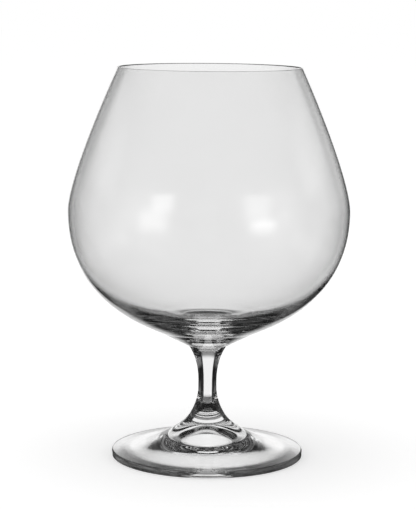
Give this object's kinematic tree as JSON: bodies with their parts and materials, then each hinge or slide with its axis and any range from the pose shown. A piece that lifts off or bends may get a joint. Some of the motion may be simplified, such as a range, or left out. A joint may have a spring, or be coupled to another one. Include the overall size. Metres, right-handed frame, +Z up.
{
  "type": "brandy snifter",
  "caption": "Clear glass brandy snifter: a wide balloon bowl that narrows to its rim, on a short waisted stem and a broad round foot.",
  "frame": {"origin": "centre of the face that the foot stands on, on the glass's axis", "axes": "+Z up along the stem, through the middle of the foot, the stem and the bowl; the glass is the same all round, so +X and +Y are free"},
  "size_m": [0.1116, 0.1116, 0.155],
  "materials": {
    "bowl_glass": "clear blown glass, fire-polished at the rim",
    "stem_glass": "clear drawn glass, polished smooth",
    "foot_glass": "clear pressed glass, fire-polished"
  },
  "bodies": {
    "root": {"bowl": "bowl_glass", "stem": "stem_glass", "foot": "foot_glass"}
  },
  "joints": []
}
